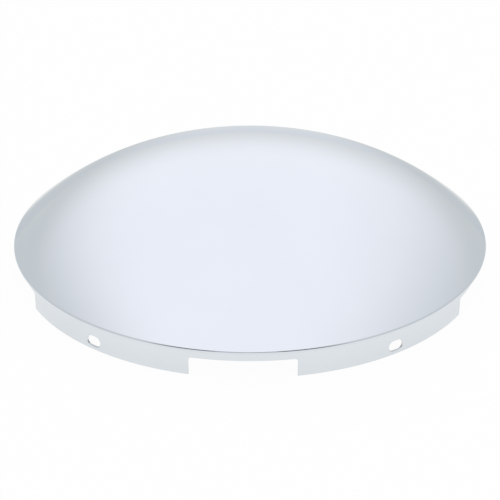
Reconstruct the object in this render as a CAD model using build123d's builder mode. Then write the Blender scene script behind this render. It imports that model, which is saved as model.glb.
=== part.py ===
from build123d import *
import os
from math import cos, radians, sin

os.makedirs("parts", exist_ok=True)

# A domed hub cap for a truck wheel's centre bore, pressed from one polished sheet.
# The frame's origin is on the cap's axis, in the plane of the tabs' lower edges. Z points out of the dome.
# All lengths are millimetres and all angles are degrees.

# Sheet and bends, as inside radii
sheet = 0.6
brim_fold_radius = 0.5
skirt_bend_radius = 0.6

# Skirt, a loose plug in the wheel's bore
wheel_bore = 220.0
bore_clearance = 1.0
skirt_height = 12.2

# Brim, the flat ring between the skirt's bend and the fold
brim_flat = 0.7

# Dome, a shallow crown and a tighter knuckle that runs down to the brim
cap_rise = 39.2
crown_angle = 21.0
edge_angle = 40.4

# Notches that clear the hub's pilot pads, evenly spaced
notch_count = 5
notch_width = 45.0
notch_height = 8.2
notch_corner_radius = 1.2

# Slots for the retaining clips, one in the middle of each tab
slot_length = 7.2
slot_width = 4.6
slot_centre_height = 4.0

# Outer sizes that follow from the values above
skirt_radius = wheel_bore / 2 - bore_clearance
nose_radius = brim_fold_radius + sheet
brim_radius = skirt_radius + skirt_bend_radius + brim_flat + nose_radius
apex_height = skirt_height + cap_rise

# The knuckle runs into the rolled nose at the edge angle, this far out from and below the apex
edge_out = brim_radius - nose_radius * (1 - sin(radians(edge_angle)))
edge_drop = cap_rise - nose_radius * (1 + cos(radians(edge_angle)))

# Outward run and drop of each arc, for a radius of one
crown_run = sin(radians(crown_angle))
crown_drop = 1 - cos(radians(crown_angle))
knuckle_run = sin(radians(edge_angle)) - crown_run
knuckle_drop = cos(radians(crown_angle)) - cos(radians(edge_angle))

# The two radii that carry the tangent arcs from the apex to the nose
arc_balance = crown_run * knuckle_drop - crown_drop * knuckle_run
crown_radius = (edge_out * knuckle_drop - edge_drop * knuckle_run) / arc_balance
knuckle_radius = (edge_drop * crown_run - edge_out * crown_drop) / arc_balance

# Punch for one notch, centred on the -Y side and open below
with BuildPart() as notch_punch:
    with BuildSketch(Plane.XZ) as notch_outline:
        Rectangle(notch_width, notch_height, align=(Align.CENTER, Align.MIN))
        fillet(notch_outline.vertices().group_by(Axis.Z)[-1], radius=notch_corner_radius)
    extrude(amount=brim_radius)

# Punch for one clip slot, centred on the -Y side
with BuildPart() as slot_punch:
    with BuildSketch(Plane.XZ):
        with Locations((0, slot_centre_height)):
            SlotOverall(slot_length, slot_width)
    extrude(amount=brim_radius)

# The cap: its outer face is drawn from the apex down to the tabs' edge and thickened inwards
with BuildPart() as hub_cap:
    with BuildSketch(Plane.XZ):
        with BuildLine():
            crown = JernArc((0, apex_height), (1, 0), crown_radius, -crown_angle)
            knuckle = JernArc(crown @ 1, crown % 1, knuckle_radius, crown_angle - edge_angle)
            nose = JernArc(knuckle @ 1, knuckle % 1, nose_radius, edge_angle - 180)
            brim = PolarLine(nose @ 1, brim_flat, direction=nose % 1)
            bend = JernArc(brim @ 1, brim % 1, skirt_bend_radius, 90)
            Line(bend @ 1, (skirt_radius, 0))
            offset(amount=sheet, side=Side.RIGHT)
        make_face()
    revolve(axis=Axis.Z)
    with PolarLocations(0, notch_count):
        add(notch_punch.part, mode=Mode.SUBTRACT)
    with PolarLocations(0, notch_count, start_angle=180 / notch_count):
        add(slot_punch.part, mode=Mode.SUBTRACT)

hub_cap.part.label = "hub_cap"
export_step(hub_cap.part, "parts/hub_cap.step")
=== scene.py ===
from math import cos, pi, radians, sin

import bmesh
import bpy
from mathutils import Matrix, Vector


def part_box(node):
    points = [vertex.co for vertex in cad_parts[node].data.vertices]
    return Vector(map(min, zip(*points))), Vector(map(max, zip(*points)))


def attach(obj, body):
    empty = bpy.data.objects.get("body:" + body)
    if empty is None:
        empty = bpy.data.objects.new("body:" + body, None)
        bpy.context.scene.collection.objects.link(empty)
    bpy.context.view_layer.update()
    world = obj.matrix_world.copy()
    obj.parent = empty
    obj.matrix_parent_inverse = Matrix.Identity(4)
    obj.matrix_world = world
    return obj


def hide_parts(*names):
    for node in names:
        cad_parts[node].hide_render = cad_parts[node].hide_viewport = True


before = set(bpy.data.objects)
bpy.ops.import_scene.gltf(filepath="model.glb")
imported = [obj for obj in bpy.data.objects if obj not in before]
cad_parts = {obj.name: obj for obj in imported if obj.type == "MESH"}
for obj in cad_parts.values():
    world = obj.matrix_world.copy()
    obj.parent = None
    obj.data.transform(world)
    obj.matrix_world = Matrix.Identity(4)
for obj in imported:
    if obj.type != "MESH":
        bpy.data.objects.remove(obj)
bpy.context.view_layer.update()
mm = 0.001
ringRepeat = pi / 10  # from ring to ring of a wave texture at a scale of 1
mixShare, mixFirst, mixSecond, mixResult = 0, 6, 7, 2  # a Mix node's sockets when it mixes colours
print("frame loaded:", sorted(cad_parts))


def hexColor(text):
    channels = [int(text[i:i + 2], 16) / 255 for i in (1, 3, 5)]
    linear = [c / 12.92 if c <= 0.04045 else ((c + 0.055) / 1.055) ** 2.4 for c in channels]
    return (*linear, 1.0)


def addNode(tree, kind, settings=None, inputs=None):
    node = tree.nodes.new(kind)
    for name, value in (settings or {}).items():
        setattr(node, name, value)
    for socket, value in (inputs or {}).items():
        if isinstance(value, bpy.types.NodeSocket):
            tree.links.new(value, node.inputs[socket])
        else:
            node.inputs[socket].default_value = value
    return node


def newMaterial(name):
    material = bpy.data.materials.new(name)
    material.use_nodes = True
    material.node_tree.nodes.clear()
    return material, material.node_tree


def newObject(name, bm, finishes):
    mesh = bpy.data.meshes.new(name)
    bm.to_mesh(mesh)
    bm.free()
    for finish in finishes:
        mesh.materials.append(finish)
    piece = bpy.data.objects.new(name, mesh)
    bpy.context.scene.collection.objects.link(piece)
    return piece


# Chrome plate on buffed steel: a cool, clear mirror. The buffing wheel leaves a slow haze and hairlines
# round the axis, which soften a reflection a little and show only where light grazes the dome.
chrome = {
    "color": "#EBEFF9",
    "thinColor": "#E7EBF5",       # where the plate is thinner
    "hazeSize": 30 * mm,
    "hazeDetail": 3.0,
    "hazeBreakup": 0.55,
    "hazeSpan": (0.3, 0.7),       # of the noise, from the clearest to the haziest plate
    "roughness": (0.07, 0.11),
    "hairline": 1.6 * mm,         # real ones are about 0.1 mm apart, too fine to show
    "hairlineDepth": 0.001 * mm,
    "hairlineWaver": 1.2,
    "hairlineDetail": 3.0,
    "hairlineDetailScale": 0.4,
}


def makeChrome():
    material, tree = newMaterial("buffedChromePlate")
    coords = addNode(tree, "ShaderNodeTexCoord").outputs["Object"]
    haze = addNode(tree, "ShaderNodeTexNoise", inputs={
        "Vector": coords, "Scale": 1 / chrome["hazeSize"],
        "Detail": chrome["hazeDetail"], "Roughness": chrome["hazeBreakup"]})
    tint = addNode(tree, "ShaderNodeMix", {"data_type": "RGBA"}, {
        mixShare: haze.outputs["Fac"],
        mixFirst: hexColor(chrome["color"]), mixSecond: hexColor(chrome["thinColor"])})
    polish = addNode(tree, "ShaderNodeMapRange", inputs={
        "Value": haze.outputs["Fac"],
        "From Min": chrome["hazeSpan"][0], "From Max": chrome["hazeSpan"][1],
        "To Min": chrome["roughness"][0], "To Max": chrome["roughness"][1]})
    hairlines = addNode(tree, "ShaderNodeTexWave", {"wave_type": "RINGS", "rings_direction": "Z"}, {
        "Vector": coords, "Scale": ringRepeat / chrome["hairline"],
        "Distortion": chrome["hairlineWaver"], "Detail": chrome["hairlineDetail"],
        "Detail Scale": chrome["hairlineDetailScale"]})
    relief = addNode(tree, "ShaderNodeBump", inputs={
        "Height": hairlines.outputs["Fac"], "Strength": 1.0, "Distance": chrome["hairlineDepth"]})
    shader = addNode(tree, "ShaderNodeBsdfPrincipled", inputs={
        "Base Color": tint.outputs[mixResult], "Metallic": 1.0,
        "Roughness": polish.outputs["Result"], "Normal": relief.outputs["Normal"]})
    addNode(tree, "ShaderNodeOutputMaterial", inputs={"Surface": shader.outputs["BSDF"]})
    return material


# Drawn steel under a thin flash of plate, never buffed: a grey satin with the press tool's draw marks
# in rings round the axis
drawnSteel = {
    "color": "#C3C6C8",
    "markColor": "#B8BCBF",
    "markSpacing": 2.0 * mm,      # real ones are about 0.3 mm apart, too fine to show
    "markDepth": 0.003 * mm,
    "markWaver": 1.5,
    "markDetail": 4.0,
    "markDetailScale": 0.6,
    "markBreakup": 0.6,
    "roughness": (0.30, 0.46),    # between the marks and on them
}


def makeDrawnSteel():
    material, tree = newMaterial("drawnSteelInside")
    coords = addNode(tree, "ShaderNodeTexCoord").outputs["Object"]
    marks = addNode(tree, "ShaderNodeTexWave", {"wave_type": "RINGS", "rings_direction": "Z"}, {
        "Vector": coords, "Scale": ringRepeat / drawnSteel["markSpacing"],
        "Distortion": drawnSteel["markWaver"], "Detail": drawnSteel["markDetail"],
        "Detail Scale": drawnSteel["markDetailScale"], "Detail Roughness": drawnSteel["markBreakup"]})
    tint = addNode(tree, "ShaderNodeMix", {"data_type": "RGBA"}, {
        mixShare: marks.outputs["Fac"],
        mixFirst: hexColor(drawnSteel["color"]), mixSecond: hexColor(drawnSteel["markColor"])})
    satin = addNode(tree, "ShaderNodeMapRange", inputs={
        "Value": marks.outputs["Fac"],
        "To Min": drawnSteel["roughness"][0], "To Max": drawnSteel["roughness"][1]})
    relief = addNode(tree, "ShaderNodeBump", inputs={
        "Height": marks.outputs["Fac"], "Strength": 1.0, "Distance": drawnSteel["markDepth"]})
    shader = addNode(tree, "ShaderNodeBsdfPrincipled", inputs={
        "Base Color": tint.outputs[mixResult], "Metallic": 1.0,
        "Roughness": satin.outputs["Result"], "Normal": relief.outputs["Normal"]})
    addNode(tree, "ShaderNodeOutputMaterial", inputs={"Surface": shader.outputs["BSDF"]})
    return material


# Steel sheared by a punch and plated over: a dull, slightly torn edge
shearedEdge = {
    "color": "#E6E9EC",
    "tornColor": "#C9CDD1",
    "tearSize": 0.7 * mm,         # real tears are about 0.15 mm wide, too fine to show
    "tearDetail": 2.0,
    "tearBreakup": 0.6,
    "tearSpan": (0.3, 0.7),       # of the noise, from a clean edge to a torn one
    "roughness": (0.35, 0.55),
}


def makeShearedEdge():
    material, tree = newMaterial("shearedSteelEdge")
    coords = addNode(tree, "ShaderNodeTexCoord").outputs["Object"]
    tears = addNode(tree, "ShaderNodeTexNoise", inputs={
        "Vector": coords, "Scale": 1 / shearedEdge["tearSize"],
        "Detail": shearedEdge["tearDetail"], "Roughness": shearedEdge["tearBreakup"]})
    tint = addNode(tree, "ShaderNodeMix", {"data_type": "RGBA"}, {
        mixShare: tears.outputs["Fac"],
        mixFirst: hexColor(shearedEdge["color"]), mixSecond: hexColor(shearedEdge["tornColor"])})
    dull = addNode(tree, "ShaderNodeMapRange", inputs={
        "Value": tears.outputs["Fac"],
        "From Min": shearedEdge["tearSpan"][0], "From Max": shearedEdge["tearSpan"][1],
        "To Min": shearedEdge["roughness"][0], "To Max": shearedEdge["roughness"][1]})
    shader = addNode(tree, "ShaderNodeBsdfPrincipled", inputs={
        "Base Color": tint.outputs[mixResult], "Metallic": 1.0, "Roughness": dull.outputs["Result"]})
    addNode(tree, "ShaderNodeOutputMaterial", inputs={"Surface": shader.outputs["BSDF"]})
    return material


capFinishes = [makeChrome(), makeDrawnSteel(), makeShearedEdge()]
plateFinish, insideFinish, edgeFinish = range(len(capFinishes))
print("finishes made:", [finish.name for finish in capFinishes])

# The pressed cap. Its reach and height are the CAD solid's.
capLow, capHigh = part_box("hub_cap")
cap = {
    "sheet": 0.6 * mm,
    "brimRadius": min(capHigh.x, capHigh.y, -capLow.x, -capLow.y),
    "apexHeight": capHigh.z,
    "noseRadius": 1.1 * mm,       # outside of the folded brim
    "brimHeight": 12.2 * mm,
    "bendRadius": 0.6 * mm,       # between the brim and the skirt
    "skirtRadius": 109.0 * mm,
    "crownAngle": radians(21),
    "edgeAngle": radians(40.4),   # slope of the dome where it meets the nose
    "steps": (30, 16, 16, 6),     # along the crown, the knuckle, the nose and the bend
    "roundSteps": 320,
    "hold": 0.3 * mm,             # a short step beside a tight bend that holds the shading there
    "mergeDistance": 0.002 * mm,
    "sharpAngle": radians(35),
}

# Punched openings, evenly spaced round the skirt: notches over the hub's pads and a clip slot between
# each two
punch = {
    "count": 5,
    "depth": 12 * mm,
    "notch": (45 * mm, 16.4 * mm),  # half of its height is below the tabs
    "notchCorner": 1.2 * mm,
    "slot": (7.2 * mm, 4.6 * mm),
    "slotCorner": 2.299 * mm,     # a hair under half its width, for round ends
    "slotHeight": 4 * mm,         # to the slot's centre
    "slotLip": 0.35 * mm,         # the punch draws the plate over the slot's edge
    "cornerSteps": 10,
}


def drawChain(bm, start, moves):
    # Walks one vertex along the moves: an arc round a centre, or, without steps, straight to a point
    tip = bm.verts.new(start)
    for place, turn, steps in moves:
        if steps:
            made = bmesh.ops.spin(bm, geom=[tip], cent=place, axis=(0, 1, 0), angle=turn, steps=steps)
            tip = [part for part in made["geom_last"] if isinstance(part, bmesh.types.BMVert)][0]
        else:
            tip = bmesh.ops.extrude_vert_indiv(bm, verts=[tip])["verts"][0]
            tip.co = place


def capWalks():
    # Crown and knuckle radii that carry two tangent arcs from the apex to the nose
    crown = cap["crownAngle"]
    edge = cap["edgeAngle"]
    nose = cap["noseRadius"]
    sheet = cap["sheet"]
    out = cap["brimRadius"] - nose * (1 - sin(edge))
    drop = cap["apexHeight"] - cap["brimHeight"] - nose * (1 + cos(edge))
    crownRun = sin(crown)
    crownDrop = 1 - cos(crown)
    knuckleRun = sin(edge) - crownRun
    knuckleDrop = cos(crown) - cos(edge)
    balance = crownRun * knuckleDrop - crownDrop * knuckleRun
    crownRadius = (out * knuckleDrop - drop * knuckleRun) / balance
    knuckleRadius = (drop * crownRun - out * crownDrop) / balance
    print("crown radius %.1f mm, knuckle radius %.1f mm" % (crownRadius / mm, knuckleRadius / mm))

    apex = Vector((0, 0, cap["apexHeight"]))
    crownCentre = apex - Vector((0, 0, crownRadius))
    knuckleCentre = crownCentre + Vector((sin(crown), 0, cos(crown))) * (crownRadius - knuckleRadius)
    noseCentre = Vector((cap["brimRadius"] - nose, 0, cap["brimHeight"] + nose))
    bendCentre = Vector((
        cap["skirtRadius"] + cap["bendRadius"], 0, cap["brimHeight"] - cap["bendRadius"]))
    foot = Vector((cap["skirtRadius"], 0, 0))
    inward = Vector((-sheet, 0, 0))
    crownSteps, knuckleSteps, noseSteps, bendSteps = cap["steps"]
    hold = cap["hold"] / knuckleRadius

    outside = [
        (crownCentre, crown, crownSteps),
        (knuckleCentre, edge - crown - hold, knuckleSteps),
        (knuckleCentre, hold, 1),
        (noseCentre, pi - edge, noseSteps),
        ((bendCentre.x, 0, cap["brimHeight"]), 0, 0),
        (bendCentre, -pi / 2, bendSteps),
        ((foot.x, 0, bendCentre.z - cap["hold"]), 0, 0),
        (foot, 0, 0),
    ]
    inside = [
        ((foot.x - sheet, 0, bendCentre.z), 0, 0),
        (bendCentre, pi / 2, bendSteps),
        ((noseCentre.x, 0, cap["brimHeight"] + sheet), 0, 0),
        (noseCentre, edge - pi, noseSteps // 2),
        (knuckleCentre, crown - edge, knuckleSteps),
        (crownCentre, -crown, crownSteps),
    ]
    return [
        (plateFinish, apex, outside),
        (insideFinish, foot + inward, inside),
        (edgeFinish, foot, [(foot + inward, 0, 0)]),
    ]


def pressCap():
    bm = bmesh.new()
    for finish, start, moves in capWalks():
        known = set(bm.faces)
        drawChain(bm, start, moves)
        chain = [v for v in bm.verts if not v.link_faces] + [e for e in bm.edges if e.is_wire]
        bmesh.ops.spin(bm, geom=chain, cent=(0, 0, 0), axis=(0, 0, 1), angle=2 * pi,
                       steps=cap["roundSteps"], use_merge=True)
        for face in set(bm.faces) - known:
            face.material_index = finish
    bmesh.ops.remove_doubles(bm, verts=bm.verts[:], dist=cap["mergeDistance"])
    bmesh.ops.recalc_face_normals(bm, faces=bm.faces[:])
    return newObject("hubCapPressing", bm, capFinishes)


def addPunch(bm, size, height, corner, lip, swing):
    known = set(bm.verts)
    width, tall = size
    made = bmesh.ops.create_cube(bm, size=1.0)["verts"]
    bmesh.ops.scale(bm, verts=made, vec=(width, punch["depth"], tall))
    bmesh.ops.translate(bm, verts=made, vec=(0, -cap["skirtRadius"], height))
    edges = [e for e in bm.edges if e.verts[0] not in known]
    along = [e for e in edges if abs(e.verts[0].co.y - e.verts[1].co.y) > punch["depth"] / 2]
    corners = [e for e in along if e.verts[0].co.z > 0]  # a notch is left square below the tabs
    rounded = bmesh.ops.bevel(bm, geom=corners, offset=corner, offset_type="OFFSET",
                              segments=punch["cornerSteps"], profile=0.5, affect="EDGES", material=-1)
    faces = {face for v in rounded["verts"] for face in v.link_faces}
    for face in faces:
        face.material_index = edgeFinish
    if lip:
        # The outer end is drawn in, flared up to the skirt's face and run out again
        end = min(faces, key=lambda face: face.calc_center_median().y)
        middle = Vector((0, -cap["skirtRadius"], height))
        bmesh.ops.translate(bm, verts=end.verts[:], vec=(0, punch["depth"] / 2 + lip, 0))
        grown = ((width + 2 * lip) / width, 1, (tall + 2 * lip) / tall)
        end = bmesh.ops.extrude_discrete_faces(bm, faces=[end])["faces"][0]
        bmesh.ops.scale(bm, verts=end.verts[:], vec=grown, space=Matrix.Translation(-middle))
        bmesh.ops.translate(bm, verts=end.verts[:], vec=(0, -lip, 0))
        for side in {face for edge in end.edges for face in edge.link_faces} - {end}:
            side.material_index = plateFinish
        end = bmesh.ops.extrude_discrete_faces(bm, faces=[end])["faces"][0]
        bmesh.ops.translate(bm, verts=end.verts[:], vec=(0, -punch["depth"] / 2, 0))
    whole = [v for v in bm.verts if v not in known]
    bmesh.ops.rotate(bm, verts=whole, cent=(0, 0, 0), matrix=Matrix.Rotation(swing, 3, "Z"))


def punchSkirt(piece):
    bm = bmesh.new()
    pitch = 2 * pi / punch["count"]
    addPunch(bm, punch["notch"], height=0, corner=punch["notchCorner"], lip=0, swing=0)
    addPunch(bm, punch["slot"], height=punch["slotHeight"], corner=punch["slotCorner"],
             lip=punch["slotLip"], swing=pitch / 2)
    bmesh.ops.spin(bm, geom=bm.verts[:] + bm.edges[:] + bm.faces[:], cent=(0, 0, 0), axis=(0, 0, 1),
                   angle=2 * pi - pitch, steps=punch["count"] - 1, use_duplicate=True)
    tool = newObject("punchTool", bm, capFinishes)
    cut = piece.modifiers.new("punchOut", "BOOLEAN")
    cut.operation = "DIFFERENCE"
    cut.solver = "EXACT"
    cut.object = tool
    bpy.context.view_layer.update()
    graph = bpy.context.evaluated_depsgraph_get()
    punched = bpy.data.meshes.new_from_object(piece.evaluated_get(graph))
    piece.modifiers.clear()
    piece.data = punched
    bpy.data.objects.remove(tool)
    punched.shade_smooth()
    punched.set_sharp_from_angle(angle=cap["sharpAngle"])


hubCap = pressCap()
print("pressed:", len(hubCap.data.polygons), "faces")
punchSkirt(hubCap)
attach(hubCap, "root")
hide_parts("hub_cap")
print("punched:", len(hubCap.data.polygons), "faces")

# Pale paper sweep: white to the camera with a trace of the cap's shadow; in the plate it shows a painted
# pool of light, bright close to the cap and greyer far off
floor = {
    "size": 8.0,
    "drop": 0.05 * mm,            # just clear of the tabs' edges
    "paper": "#F2F2F2",
    "fibre": 4 * mm,              # real fibres are finer, too fine to show
    "fibreDetail": 4.0,
    "fibreDepth": 0.05 * mm,
    "fibreStrength": 0.2,
    "white": "#FFFFFF",
    "paintedPool": "#F8F9F3",        # painted pool of light close to the cap, seen only in the plate
    "paintedDimFar": "#DADFE2",     # painted dimmer floor straight behind or in front
    "paintedDimSide": "#C6CCCD",    # painted darker floor to the sides, away from the panel
    "paintedPoolReach": (0.125, 0.18),   # from the axis, where the painted pool of light gives way
    "sideways": (0.1, 0.5),       # share of the reach that is sideways
    "glowShare": (0.97, 0.8),     # how much of it is its own white, to the camera and in the plate
}


def makeFloor():
    material, tree = newMaterial("backdropPaper")
    smooth = {"interpolation_type": "SMOOTHSTEP"}
    coords = addNode(tree, "ShaderNodeTexCoord").outputs["Object"]
    reach = addNode(tree, "ShaderNodeVectorMath", {"operation": "LENGTH"}, {0: coords})
    heading = addNode(tree, "ShaderNodeVectorMath", {"operation": "NORMALIZE"}, {0: coords})
    across = addNode(tree, "ShaderNodeSeparateXYZ", inputs={0: heading.outputs["Vector"]})
    aside = addNode(tree, "ShaderNodeMath", {"operation": "ABSOLUTE"}, {0: across.outputs["X"]})
    # Painted light for the plate: the floor it mirrors is painted bright close to the cap, dimmer far
    # off and darker to the sides
    turned = addNode(tree, "ShaderNodeMapRange", smooth, {
        "Value": aside.outputs[0],
        "From Min": floor["sideways"][0], "From Max": floor["sideways"][1]})
    paintedDim = addNode(tree, "ShaderNodeMix", {"data_type": "RGBA"}, {
        mixShare: turned.outputs["Result"],
        mixFirst: hexColor(floor["paintedDimFar"]), mixSecond: hexColor(floor["paintedDimSide"])})
    fade = addNode(tree, "ShaderNodeMapRange", smooth, {
        "Value": reach.outputs["Value"],
        "From Min": floor["paintedPoolReach"][0], "From Max": floor["paintedPoolReach"][1]})
    paintedPool = addNode(tree, "ShaderNodeMix", {"data_type": "RGBA"}, {
        mixShare: fade.outputs["Result"],
        mixFirst: hexColor(floor["paintedPool"]), mixSecond: paintedDim.outputs[mixResult]})
    # The camera sees plain white; glossy rays see the painted pool of light
    path = addNode(tree, "ShaderNodeLightPath")
    white = addNode(tree, "ShaderNodeMix", {"data_type": "RGBA"}, {
        mixShare: path.outputs["Is Glossy Ray"],
        mixFirst: hexColor(floor["white"]), mixSecond: paintedPool.outputs[mixResult]})
    glow = addNode(tree, "ShaderNodeEmission", inputs={
        "Color": white.outputs[mixResult], "Strength": 1.0})
    fibres = addNode(tree, "ShaderNodeTexNoise", inputs={
        "Vector": coords, "Scale": 1 / floor["fibre"], "Detail": floor["fibreDetail"]})
    grain = addNode(tree, "ShaderNodeBump", inputs={
        "Height": fibres.outputs["Fac"],
        "Strength": floor["fibreStrength"], "Distance": floor["fibreDepth"]})
    paper = addNode(tree, "ShaderNodeBsdfDiffuse", inputs={
        "Color": hexColor(floor["paper"]), "Normal": grain.outputs["Normal"]})
    direct = addNode(tree, "ShaderNodeMath", {"operation": "MAXIMUM"}, {
        0: path.outputs["Is Camera Ray"], 1: path.outputs["Is Transmission Ray"]})
    toCamera = addNode(tree, "ShaderNodeMath", {"operation": "MULTIPLY"}, {
        0: direct.outputs[0], 1: floor["glowShare"][0]})
    inPlate = addNode(tree, "ShaderNodeMath", {"operation": "MULTIPLY"}, {
        0: path.outputs["Is Glossy Ray"], 1: floor["glowShare"][1]})
    share = addNode(tree, "ShaderNodeMath", {"operation": "MAXIMUM"}, {
        0: toCamera.outputs[0], 1: inPlate.outputs[0]})
    surface = addNode(tree, "ShaderNodeMixShader", inputs={
        0: share.outputs[0], 1: paper.outputs["BSDF"], 2: glow.outputs["Emission"]})
    addNode(tree, "ShaderNodeOutputMaterial", inputs={"Surface": surface.outputs["Shader"]})
    bm = bmesh.new()
    bmesh.ops.create_grid(bm, x_segments=1, y_segments=1, size=floor["size"] / 2)
    bmesh.ops.translate(bm, verts=bm.verts[:], vec=(0, 0, -floor["drop"]))
    sweep = newObject("backdropFloor", bm, [material])


makeFloor()
print("floor laid")

# Studio light: a long soft panel overhead, lower at the back, in a grey room, with a dark flag on each
# side of the camera that draws the dark line along the brim
studio = {
    "panelColor": "#FFFFFF",
    "roomColor": "#D2D6D3",
    "least": 0.02,                # keeps a division from running away at the horizon
    "backSlope": 0.26,            # how far the panel comes down towards the back
    "leftEdge": (0.40, 1.60),     # sideways reach over height where the panel's edge starts and ends
    "rightEdge": (0.17, 1.76),
    "lowEdge": (-0.15, 0.42),     # heights between which the panel fades in
    "lowShare": 0.16,             # of the panel that is left below them
    "flagTop": (0.40, 0.65),      # heights between which the flags end
    "flagFront": (-0.2, -0.05),   # nothing is held back behind the cap
    "flagInner": (0.235, 0.275),  # sideways reach over forward reach
    "flagOuter": (0.55, 1.15),
    "flagShare": (0.36, 0.80),    # of the light held back between the flags and by them
}


def makeStudio():
    world = bpy.data.worlds.new("softStudio")
    bpy.context.scene.world = world
    world.use_nodes = True
    tree = world.node_tree
    tree.nodes.clear()
    smooth = {"interpolation_type": "SMOOTHSTEP"}
    fadeOut = {"To Min": 1.0, "To Max": 0.0}
    sight = addNode(tree, "ShaderNodeTexCoord").outputs["Generated"]
    toward = addNode(tree, "ShaderNodeSeparateXYZ", inputs={0: sight}).outputs

    # The panel's sides stand further out the higher the light comes from, and further at the back
    over = addNode(tree, "ShaderNodeMath", {"operation": "MULTIPLY_ADD"}, {
        0: toward["Y"], 1: studio["backSlope"], 2: toward["Z"]})
    above = addNode(tree, "ShaderNodeMath", {"operation": "MAXIMUM"}, {
        0: over.outputs[0], 1: studio["least"]})
    spread = addNode(tree, "ShaderNodeMath", {"operation": "DIVIDE"}, {
        0: toward["X"], 1: above.outputs[0]})
    right = addNode(tree, "ShaderNodeMapRange", smooth, {
        "Value": spread.outputs[0],
        "From Min": studio["rightEdge"][0], "From Max": studio["rightEdge"][1], **fadeOut})
    left = addNode(tree, "ShaderNodeMapRange", smooth, {
        "Value": spread.outputs[0],
        "From Min": -studio["leftEdge"][0], "From Max": -studio["leftEdge"][1], **fadeOut})
    low = addNode(tree, "ShaderNodeMapRange", smooth, {
        "Value": toward["Z"],
        "From Min": studio["lowEdge"][0], "From Max": studio["lowEdge"][1],
        "To Min": studio["lowShare"], "To Max": 1.0})
    width = addNode(tree, "ShaderNodeMath", {"operation": "MULTIPLY"}, {
        0: right.outputs["Result"], 1: left.outputs["Result"]})
    panel = addNode(tree, "ShaderNodeMath", {"operation": "MULTIPLY"}, {
        0: width.outputs[0], 1: low.outputs["Result"]})
    light = addNode(tree, "ShaderNodeMix", {"data_type": "RGBA"}, {
        mixShare: panel.outputs[0],
        mixFirst: hexColor(studio["roomColor"]), mixSecond: hexColor(studio["panelColor"])})

    # The flags hold light back low down in front, and less between them
    ahead = addNode(tree, "ShaderNodeMath", {"operation": "MULTIPLY"}, {0: toward["Y"], 1: -1.0})
    forward = addNode(tree, "ShaderNodeMath", {"operation": "MAXIMUM"}, {
        0: ahead.outputs[0], 1: studio["least"]})
    turn = addNode(tree, "ShaderNodeMath", {"operation": "DIVIDE"}, {
        0: toward["X"], 1: forward.outputs[0]})
    aside = addNode(tree, "ShaderNodeMath", {"operation": "ABSOLUTE"}, {0: turn.outputs[0]})
    inner = addNode(tree, "ShaderNodeMapRange", smooth, {
        "Value": aside.outputs[0],
        "From Min": studio["flagInner"][0], "From Max": studio["flagInner"][1],
        "To Min": studio["flagShare"][0], "To Max": studio["flagShare"][1]})
    outer = addNode(tree, "ShaderNodeMapRange", smooth, {
        "Value": aside.outputs[0],
        "From Min": studio["flagOuter"][0], "From Max": studio["flagOuter"][1], **fadeOut})
    top = addNode(tree, "ShaderNodeMapRange", smooth, {
        "Value": toward["Z"],
        "From Min": studio["flagTop"][0], "From Max": studio["flagTop"][1], **fadeOut})
    front = addNode(tree, "ShaderNodeMapRange", smooth, {
        "Value": toward["Y"],
        "From Min": studio["flagFront"][0], "From Max": studio["flagFront"][1], **fadeOut})
    across = addNode(tree, "ShaderNodeMath", {"operation": "MULTIPLY"}, {
        0: inner.outputs["Result"], 1: outer.outputs["Result"]})
    upright = addNode(tree, "ShaderNodeMath", {"operation": "MULTIPLY"}, {
        0: top.outputs["Result"], 1: front.outputs["Result"]})
    held = addNode(tree, "ShaderNodeMath", {"operation": "MULTIPLY"}, {
        0: across.outputs[0], 1: upright.outputs[0]})
    strength = addNode(tree, "ShaderNodeMath", {"operation": "SUBTRACT"}, {0: 1.0, 1: held.outputs[0]})
    sky = addNode(tree, "ShaderNodeBackground", inputs={
        "Color": light.outputs[mixResult], "Strength": strength.outputs[0]})
    addNode(tree, "ShaderNodeOutputWorld", inputs={"Surface": sky.outputs["Background"]})


makeStudio()
print("light set")

# The photograph's viewpoint, for a square frame
view = {
    "place": (0.01569, -0.58192, 0.30507),
    "aim": (0, 0, 0.00271),
    "lens": 98.21,
    "sensor": 36.0,
    "clipStart": 0.01,
}
lensData = bpy.data.cameras.new("photoView")
lensData.lens = view["lens"]
lensData.sensor_width = view["sensor"]
lensData.clip_start = view["clipStart"]
camera = bpy.data.objects.new("photoView", lensData)
camera.location = view["place"]
camera.rotation_mode = "QUATERNION"
camera.rotation_quaternion = (Vector(view["aim"]) - Vector(view["place"])).to_track_quat("-Z", "Y")
bpy.context.scene.collection.objects.link(camera)
bpy.context.scene.camera = camera
bpy.context.scene.view_settings.view_transform = "Standard"
print("camera placed")
